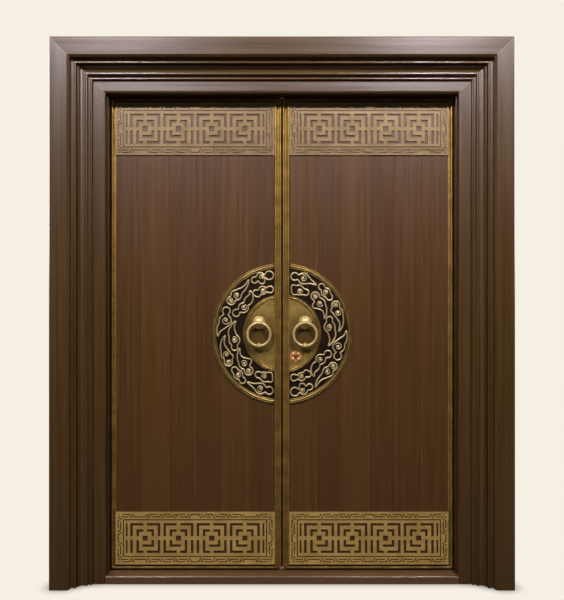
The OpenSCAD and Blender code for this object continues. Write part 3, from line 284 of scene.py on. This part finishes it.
def lattice_brass(name, dull, bright, stroke):
    """Brass that is clean on its face and dark down in the strokes."""
    m = Shader(name)
    cloud = m.noise(PLATE_CLOUDY, 4.0, 0.6)
    face = m.blend(m.ease(cloud, 0.35, 0.68), dull, bright)
    depth = m.calc("SUBTRACT", m.axis("Y"), LATTICE_FACE)
    colour = m.blend(m.ease(depth, STROKE_LIP, STROKE_SIDE), face, stroke)
    m.bump(m.noise(PLATE_FINE, 2.0, 0.5), *FINE_BUMP)
    return m.set(Base_Color=colour, Metallic=m.ease(depth, STROKE_LIP, STROKE_SIDE, 0.45, 0.0), IOR=1.6,
                 Specular_IOR_Level=1.0, Roughness=m.ease(depth, STROKE_LIP, STROKE_FLOOR, 0.42, 0.36))


casing_wood = lacquered_wood("casing_wood_legs", CASING, "Z", mitre=True, rough=0.315, ior=1.68)
casing_wood_x = lacquered_wood("casing_wood_head", CASING, "X", mitre=True, rough=0.29, ior=1.55)
frame_wood = lacquered_wood("frame_wood_legs", FRAME, "Z")
frame_wood_x = lacquered_wood("frame_wood_head", FRAME, "X")
sill_wood = lacquered_wood("sill_wood", SILL, "X")
board_wood = lacquered_wood("board_wood", BOARD, "Z", boards=True, rough=0.34, shine=0.85)
core_wood = lacquered_wood("core_wood", CORE, "Z", rough=0.5, shine=0.4)
trim_brass = aged_brass("trim_brass", tone(128, 100, 52), tone(96, 72, 34), 0.36, 0.7)
# Painted light: the upright trims are a brighter copy of the trim brass, making up for the light they miss
stile_painted_light_brass = aged_brass("stile_painted_light_brass", tone(194, 155, 82), tone(150, 116, 56), 0.42, 0.5)
cast_brass = aged_brass("cast_brass", tone(238, 216, 168), tone(206, 180, 128), 0.36, 0.35, 0.65)
rim_brass = aged_brass("rim_brass", tone(198, 164, 94), tone(154, 122, 62), 0.34, 0.85)
ground_brass = aged_brass("ground_brass", tone(56, 40, 20), tone(32, 22, 10), 0.45, 0.4)
hub_brass = aged_brass("hub_brass", tone(220, 184, 102), tone(172, 138, 70), 0.36, 0.6, ring_middle=True)
knocker_brass = aged_brass("knocker_brass", tone(222, 196, 134), tone(190, 162, 100), 0.34, 0.55, 0.35)
fitting_brass = aged_brass("fitting_brass", tone(200, 170, 104), tone(160, 130, 74), 0.3, 0.4)
rose_copper = aged_brass("rose_copper", tone(255, 190, 122), tone(234, 150, 84), 0.28, 0.6, 0.45)
# Painted light and shade: the top plates' brass is painted darker and the bottom plates' paler, making up for
# more light above and less below
plate_brass = lattice_brass("plate_brass", tone(127, 102, 57), tone(149, 121, 74), tone(88, 50, 8))
low_plate_painted_light_brass = lattice_brass("low_plate_painted_light_brass", tone(203, 166, 86), tone(228, 190, 106), tone(74, 41, 8))
lock_steel = Shader("lock_steel").set(Base_Color=(0.55, 0.55, 0.54, 1), Metallic=1.0, Roughness=0.32)
seal_rubber = Shader("seal_rubber").set(Base_Color=(0.012, 0.010, 0.008, 1), Roughness=0.8,
                                        Specular_IOR_Level=0.2)


def paint(node, mat):
    o = nodes[node]
    o.data.materials.clear()
    o.data.materials.append(mat)


for n in nodes:
    if n in ("left_casing", "right_casing"):
        paint(n, casing_wood)
    elif n == "head_casing":
        paint(n, casing_wood_x)
    elif n == "head_jamb":
        paint(n, frame_wood_x)
    elif n == "threshold":
        paint(n, sill_wood)
    elif n.endswith("_jamb"):
        paint(n, frame_wood)
    elif n.endswith("boards"):
        paint(n, board_wood)
    elif n.endswith("core"):
        paint(n, core_wood)
    elif n.endswith(("hinge_trim", "meeting_trim")):
        paint(n, stile_painted_light_brass)
    elif n.endswith("trim"):
        paint(n, trim_brass)
    elif n.endswith("lattice"):
        paint(n, low_plate_painted_light_brass if "bottom" in n else plate_brass)
    elif "knocker" in n or n.endswith("stud"):
        paint(n, knocker_brass)
    elif n == "key_rose":
        paint(n, rose_copper)
    elif n in ("key_cylinder", "lock_case", "lock_bolts", "top_flush_bolt", "bottom_flush_bolt"):
        paint(n, lock_steel)
    elif n in ("frame_seals", "meeting_seal"):
        paint(n, seal_rubber)
    else:
        paint(n, fitting_brass)


# Pieces made here

def piece(name, bm, mats, body, flat=()):
    """A finished piece on its body, smooth but for the faces of the materials named as flat."""
    bmesh.ops.recalc_face_normals(bm, faces=bm.faces)
    mesh = bpy.data.meshes.new(name)
    bm.to_mesh(mesh)
    bm.free()
    for mat in mats:
        mesh.materials.append(mat)
    for p in mesh.polygons:
        p.use_smooth = p.material_index not in flat
    o = bpy.data.objects.new(name, mesh)
    scene.collection.objects.link(o)
    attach(o, body)
    return o


# Clouds on the left half, in millimetres from the medallion's centre, seen from the front:
# lobes (x, y, radius), tails (base, bend, tip, half width), curls (x, y, radius, start angle)
CLOUDS = [
    ([(-123, 239, 14), (-96, 254, 18), (-57, 260, 19), (-90, 235, 13)], [], [(-90, 254, 12, 200)]),
    ([(-117, 182, 13), (-87, 193, 18), (-54, 197, 15), (-108, 174, 11)], [], [(-86, 192, 12, 20)]),
    ([(-204, 171, 22), (-228, 147, 18), (-214, 176, 13)],
     [((-196, 184), (-157, 203), (-149, 244), 12)],
     [(-203, 171, 14, 250), (-228, 147, 11.5, 120)]),
    ([(-173, 115, 22), (-205, 92, 16), (-152, 144, 16)],
     [((-152, 146), (-130, 170), (-144, 191), 14)],
     [(-171, 117, 14, 40)]),
    ([(-254, 57, 27), (-249, 101, 17)],
     [((-262, 40), (-290, 20), (-286, -12), 15)],
     [(-252, 58, 18, 300)]),
    ([(-213, -30, 24), (-212, -62, 14)],
     [((-222, -8), (-232, 26), (-205, 58), 15)],
     [(-213, -29, 15, 80)]),
    ([(-251, -94, 21), (-240, -127, 18), (-228, -104, 10)],
     [((-256, -80), (-278, -42), (-251, -7), 13)],
     [(-250, -93, 14, 200), (-240, -127, 11.5, 20)]),
    ([(-168, -134, 25), (-149, -167, 19), (-147, -124, 11)],
     [((-182, -120), (-200, -98), (-189, -67), 12)],
     [(-169, -134, 15, 120), (-149, -166, 12, 300)]),
    ([(-196, -184, 20), (-212, -163, 14), (-177, -209, 14)], [], [(-196, -185, 13, 60)]),
    ([(-106, -184, 14), (-80, -192, 20), (-56, -187, 14), (-53, -206, 12), (-76, -206, 11)],
     [],
     [(-80, -191, 13, 160)]),
    ([(-96, -246, 24), (-57, -255, 17)],
     [((-106, -240), (-128, -234), (-154, -217), 13)],
     [(-96, -246, 16, 250)]),
]
# The clouds' outlines, in millimetres: how far lobes melt together,
# and the steps that find and draw the line
MELT, SMALL_R, SMALL_MELT = 8.0, 10, 0.25
GRID_STEP, GRID_EDGE, LINE_STEP = 1.5, 6, 2.4
TAIL_STEPS, TAIL_TIP = 15, 1.2
LINE_LEAST, LINE_SMOOTH = 12, 2
MM = 1000


def cloud_outline(lobes, tails):
    """The outline of a cloud in millimetres: lobes and tails melted together, found on a fine grid."""
    discs = [np.array(d, float) for d in lobes]
    for base, bend, tip, half in tails:
        for t in np.linspace(0, 1, TAIL_STEPS):
            c = (1 - t) ** 2 * np.array(base) + 2 * t * (1 - t) * np.array(bend) + t * t * np.array(tip)
            discs.append(np.array((c[0], c[1], half * (1 - t) + TAIL_TIP * t)))
    discs = np.array(discs)
    lo = (discs[:, :2] - discs[:, 2:]).min(0) - GRID_EDGE
    hi = (discs[:, :2] + discs[:, 2:]).max(0) + GRID_EDGE
    xs, ys = np.arange(lo[0], hi[0], GRID_STEP), np.arange(lo[1], hi[1], GRID_STEP)
    gx, gy = np.meshgrid(xs, ys, indexing="ij")
    field = None
    for x, y, r in discs:
        d = np.hypot(gx - x, gy - y) - r
        if field is None:
            field = d
        else:
            h = np.maximum(MELT - np.abs(field - d), 0) / MELT
            field = np.minimum(field, d) - h * h * MELT / 4 * (SMALL_MELT if r < SMALL_R else 1.0)
    return longest_contour(field, xs, ys)


def longest_contour(field, xs, ys):
    """The longest closed line where a field is nought."""
    links = {}
    places = {}

    def cross(i, j, k, l):
        a, b = field[i, j], field[k, l]
        t = a / (a - b)
        return (xs[i] + (xs[k] - xs[i]) * t, ys[j] + (ys[l] - ys[j]) * t)

    for i in range(len(xs) - 1):
        for j in range(len(ys) - 1):
            corners = [(i, j), (i + 1, j), (i + 1, j + 1), (i, j + 1)]
            hits = []
            for a, b in zip(corners, corners[1:] + corners[:1]):
                if (field[a] < 0) != (field[b] < 0):
                    key = (min(a, b), max(a, b))
                    places[key] = cross(*key[0], *key[1])
                    hits.append(key)
            for a, b in zip(hits[::2], hits[1::2]):
                links.setdefault(a, []).append(b)
                links.setdefault(b, []).append(a)
    best = []
    left = set(links)
    while left:
        start = left.pop()
        loop, last, here = [start], None, start
        while True:
            ahead = [k for k in links[here] if k != last]
            if not ahead or ahead[0] == start:
                break
            last, here = here, ahead[0]
            if here not in left:
                break
            left.discard(here)
            loop.append(here)
        if len(loop) > len(best):
            best = loop
    return evenly([places[k] for k in best], LINE_STEP)


def evenly(points, step):
    """A closed line sampled again at an even step and smoothed a little."""
    p = np.array(points + points[:1])
    run = np.concatenate(([0], np.cumsum(np.hypot(*np.diff(p, axis=0).T))))
    at = np.linspace(0, run[-1], max(LINE_LEAST, int(run[-1] / step)), endpoint=False)
    q = np.stack((np.interp(at, run, p[:, 0]), np.interp(at, run, p[:, 1])), 1)
    for _ in range(LINE_SMOOTH):
        q = 0.5 * q + 0.25 * (np.roll(q, 1, 0) + np.roll(q, -1, 0))
    return q


# The casting is modelled lying down: x and y in front view from its centre, z out from its back

def bead_profile(r, w, rise):
    """A wide bead between two narrow ones, with a sharp groove on either side of it."""
    points = [(r, RIM_SEAT)]
    for start, end, high in BEADS:
        mid, half = r - w * (start + end) / 2, w * (end - start) / 2
        points += [(mid + half * math.cos(a),
                    GROUND_T + GROOVE_RISE + (high * rise - GROOVE_RISE) * math.sin(a))
                   for a in np.linspace(GROOVE_ANGLE, math.pi - GROOVE_ANGLE, BEAD_STEPS)]
    return points + [(r - w, RIM_SEAT)]


def cut_at_edge(bm, geom):
    """What is left of a shape beside the meeting edge, and the edges along the cut."""
    cut = bmesh.ops.bisect_plane(bm, geom=geom, plane_co=(-MEDAL_EDGE, 0, 0), plane_no=(1, 0, 0),
                                 clear_outer=True)
    return [g for g in cut["geom_cut"] if isinstance(g, bmesh.types.BMEdge)]


def turned_rings(bm):
    """The rim and the inner ring, turned round the centre and cut at the meeting edge."""
    for radius, width, rise in ((MEDAL_R, RIM_W, RIM_RISE), (HUB_R, HUB_RING_W, HUB_RING_RISE)):
        loop = [bm.verts.new((-r, 0, high)) for r, high in bead_profile(radius, width, rise)]
        line = [bm.edges.new(pair) for pair in zip(loop, loop[1:] + loop[:1])]
        bmesh.ops.spin(bm, geom=loop + line, cent=(0, 0, 0), axis=(0, 0, 1), angle=2 * math.pi,
                       steps=TURN_STEPS, use_merge=True)
    ends = cut_at_edge(bm, bm.verts[:] + bm.edges[:] + bm.faces[:])
    bmesh.ops.edgeloop_fill(bm, edges=ends)
    for f in bm.faces:
        f.material_index = RIM


def half_disc(bm, radius, low, high, mat):
    """A flat half disc with a straight edge, from one height to another."""
    disc = bmesh.ops.create_circle(bm, cap_ends=True, segments=TURN_STEPS, radius=radius,
                                   matrix=Matrix.Translation((0, 0, low)))["verts"]
    face = disc[0].link_faces[0]
    face.material_index = mat
    side = cut_at_edge(bm, disc + face.edges[:] + [face])
    raised = bmesh.ops.extrude_face_region(bm, geom=side[0].link_faces[:])["geom"]
    bmesh.ops.translate(bm, vec=(0, 0, high - low),
                        verts=[g for g in raised if isinstance(g, bmesh.types.BMVert)])


def ridge(bm, line, radii, closed):
    """A round ridge along a line, half sunk in the ground."""
    own = bmesh.new()
    count = len(line)
    hoops = []
    for i, (p, r) in enumerate(zip(line, radii)):
        a = line[i - 1] if closed or i else p
        b = line[(i + 1) % count] if closed or i < count - 1 else p
        along = Vector((b[0] - a[0], b[1] - a[1], 0)).normalized()
        stand = Matrix(((-along.y, along.x, 0), (0, 0, RIDGE_TALL), along)).transposed().to_4x4()
        stand.translation = (p[0], p[1], RIDGE_SEAT)
        hoop = bmesh.ops.create_circle(own, segments=RIDGE_SIDES, radius=r, matrix=stand)["verts"]
        hoops.append(list(dict.fromkeys(e for v in hoop for e in v.link_edges)))
    for a, b in zip(hoops, hoops[1:] + hoops[:1] if closed else hoops[1:]):
        bmesh.ops.bridge_loops(own, edges=a + b)
    if not closed:
        for end in (hoops[0], hoops[-1]):
            bmesh.ops.edgeloop_fill(own, edges=end)
    mesh = bpy.data.meshes.new("ridge")
    own.to_mesh(mesh)
    own.free()
    bm.from_mesh(mesh)
    bpy.data.meshes.remove(mesh)


def cast_half():
    """A half of the casting: rounded rim and inner ring, dark ground, smooth hub and the clouds."""
    bm = bmesh.new()
    turned_rings(bm)
    half_disc(bm, MEDAL_R - PLATE_INSET, 0.0, GROUND_T, GROUND)
    half_disc(bm, HUB_R - PLATE_INSET, HUB_SEAT, GROUND_T + HUB_T, HUB)
    for lobes, tails, curls in CLOUDS:
        line = cloud_outline(lobes, tails) / MM
        ridge(bm, line, [RIDGE_R] * len(line), True)
        for x, y, r, start in curls:
            t = np.linspace(0, 1, CURL_STEPS)
            reach = CURL_START + (r / MM - CURL_START) * t
            turn = np.radians(start + CURL_TURN * t)
            spiral = np.stack((x / MM + reach * np.cos(turn), y / MM + reach * np.sin(turn)), 1)
            ridge(bm, spiral, CURL_R * (CURL_THICK + (CURL_THIN - CURL_THICK) * t), False)
            bmesh.ops.create_uvsphere(bm, u_segments=BALL_STEPS, v_segments=BALL_ROWS, radius=BALL_R,
                                      matrix=Matrix.Translation((x / MM, y / MM, BALL_SEAT)))
    return bm


casting = cast_half()
for half, way in (("left", 1), ("right", -1)):
    bm = casting.copy()
    upright = Matrix(((way, 0, 0, 0), (0, 0, -1, MEDAL_BACK), (0, way, 0, MEDAL_Z), (0, 0, 0, 1)))
    bmesh.ops.transform(bm, matrix=upright, verts=bm.verts)
    o = piece(f"{half}_cast_medallion", bm, [cast_brass, ground_brass, hub_brass, rim_brass],
              f"{half}_leaf", flat=(GROUND, HUB))
    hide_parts(f"{half}_half_medallion")
casting.free()


def seal_lip():
    """The soft lip that closes the hair's breadth between the meeting seal and the other leaf."""
    bm = bmesh.new()
    lip = bmesh.ops.create_cube(bm, size=1.0)["verts"]
    bmesh.ops.scale(bm, vec=(LIP_OUT, LIP_DEEP, seal_hi.z - seal_lo.z), verts=lip)
    middle = (seal_lo + seal_hi) / 2
    bmesh.ops.translate(bm, vec=(seal_hi.x + LIP_OUT / 2, middle.y, middle.z), verts=lip)
    piece("meeting_seal_lip", bm, [seal_rubber], "left_leaf", flat=(0,))


seal_lip()


# Stage, light and camera: the room is pale all round, but reflections find it dim on the viewer's side

PAPER = tone(246, 240, 228)
ROOM, ROOM_LIGHT = (0.93, 0.94, 1.0, 1.0), 0.02
# The floor's tone under the lamps, its reach, and how far its painted contact shadow spreads
FLOOR, FLOOR_REACH, CONTACT_SHADOW_REACH = (0.06, 0.055, 0.05, 1.0), 14, 0.06
# The share of the pale room in reflections, and where it rises along Y, on the floor and by direction
MIRRORED = 0.5
FLOOR_RISE, ROOM_RISE = (0.0, 0.8), (-0.1, 0.4)


def seen_pale(tree, behind):
    """A factor of 1 for the camera, and of the share behind the door for reflections and what shows through."""
    path = tree.nodes.new("ShaderNodeLightPath")

    def calc(op, x, y):
        m = tree.nodes.new("ShaderNodeMath")
        m.operation = op
        tree.links.new(x, m.inputs[0])
        tree.links.new(y, m.inputs[1])
        return m.outputs[0]

    shine = calc("MAXIMUM", path.outputs["Is Glossy Ray"], path.outputs["Is Transmission Ray"])
    return calc("MAXIMUM", path.outputs["Is Camera Ray"], calc("MULTIPLY", shine, behind))


def rising(tree, coord, start, end):
    """0 before one depth and the room's share in reflections past another, along Y."""
    split = tree.nodes.new("ShaderNodeSeparateXYZ")
    ramp = tree.nodes.new("ShaderNodeMapRange")
    tree.links.new(tree.nodes.new("ShaderNodeTexCoord").outputs[coord], split.inputs[0])
    tree.links.new(split.outputs["Y"], ramp.inputs["Value"])
    ramp.inputs["From Min"].default_value = start
    ramp.inputs["From Max"].default_value = end
    ramp.inputs["To Max"].default_value = MIRRORED
    return ramp.outputs["Result"]


def pale_mix(tree, output, lit, seen, behind):
    """The lit surface, with the pale one over it where it is to be seen."""
    mix = tree.nodes.new("ShaderNodeMixShader")
    tree.links.new(seen_pale(tree, behind), mix.inputs[0])
    tree.links.new(lit.outputs[0], mix.inputs[1])
    tree.links.new(seen.outputs[0], mix.inputs[2])
    tree.links.new(mix.outputs[0], tree.nodes.new(output).inputs["Surface"])


def pale_floor():
    bm = bmesh.new()
    bmesh.ops.create_grid(bm, x_segments=1, y_segments=1, size=FLOOR_REACH)
    mesh = bpy.data.meshes.new("floor")
    bm.to_mesh(mesh)
    bm.free()
    o = bpy.data.objects.new("floor", mesh)
    scene.collection.objects.link(o)
    mat = bpy.data.materials.new("floor")
    mat.use_nodes = True
    t = mat.node_tree
    t.nodes.clear()
    soft = t.nodes.new("ShaderNodeBsdfDiffuse")
    soft.inputs["Color"].default_value = FLOOR
    # Painted contact shadow: the pale floor the camera sees darkens by ambient occlusion near the door
    painted_contact_shadow = t.nodes.new("ShaderNodeAmbientOcclusion")
    painted_contact_shadow.inputs["Color"].default_value = PAPER
    painted_contact_shadow.inputs["Distance"].default_value = CONTACT_SHADOW_REACH
    seen = t.nodes.new("ShaderNodeEmission")
    t.links.new(painted_contact_shadow.outputs["Color"], seen.inputs["Color"])
    pale_mix(t, "ShaderNodeOutputMaterial", soft, seen, rising(t, "Object", *FLOOR_RISE))
    mesh.materials.append(mat)


def pale_room():
    world = bpy.data.worlds.new("room")
    scene.world = world
    world.use_nodes = True
    t = world.node_tree
    t.nodes.clear()
    lit = t.nodes.new("ShaderNodeBackground")
    lit.inputs["Color"].default_value = ROOM
    lit.inputs["Strength"].default_value = ROOM_LIGHT
    seen = t.nodes.new("ShaderNodeBackground")
    seen.inputs["Color"].default_value = PAPER
    pale_mix(t, "ShaderNodeOutputWorld", lit, seen, rising(t, "Generated", *ROOM_RISE))


pale_floor()
pale_room()

# Lamps: name, place, aim, size, watts, colour, and whether reflections show them
SPOT = (0.25, 0.25)
COOL, WARM = (0.98, 0.95, 1.0), (1.0, 0.96, 0.92)
LAMPS = [
    ("left_key", (-1.37, -2.9, 4.02), (-0.2, 0, 1.0), SPOT, 109, COOL, True),
    ("right_key", (1.10, -2.2, 3.62), (0.2, 0, 1.4), SPOT, 82, COOL, True),
    ("front_fill", (0, -3.2, 0.8), (0, 0, 1.9), (2.0, 1.2), 11, (1.0, 0.96, 0.94), False),
    ("house", (0.6, 4.2, 3.0), (0, 0, 1.2), (3.0, 2.0), 120, (1.0, 0.96, 0.9), True),
    ("left_side", (-4.2, 0.7, 2.4), (-0.9, 0.05, 1.2), (1.2, 2.0), 70, WARM, True),
    ("right_side", (4.2, 0.7, 2.4), (0.9, 0.05, 1.2), (1.2, 2.0), 70, WARM, True),
]

for name, at, aim, size, watts, colour, mirrored in LAMPS:
    data = bpy.data.lights.new(name, "AREA")
    data.shape = "RECTANGLE"
    data.size, data.size_y = size
    data.energy = watts
    data.color = colour
    o = bpy.data.objects.new(name, data)
    scene.collection.objects.link(o)
    o.location = at
    o.rotation_euler = (Vector(aim) - Vector(at)).to_track_quat("-Z", "Y").to_euler()
    o.visible_camera = False
    o.visible_glossy = mirrored

# The camera stands square to the door; the picture is 600 pixels high, its horizon 25 above the middle
PICTURE_H, HORIZON_UP = 600, 25
CAMERA_AT = (0, -3.63, 1.353)
SENSOR_W, LENS = 36, 49.38

cam_data = bpy.data.cameras.new("view")
cam_data.sensor_width = SENSOR_W
cam_data.lens = LENS
cam_data.shift_y = -HORIZON_UP / PICTURE_H
cam = bpy.data.objects.new("view", cam_data)
scene.collection.objects.link(cam)
cam.location = CAMERA_AT
cam.rotation_euler = (math.radians(90), 0, 0)
scene.camera = cam

scene.view_settings.view_transform = "Standard"
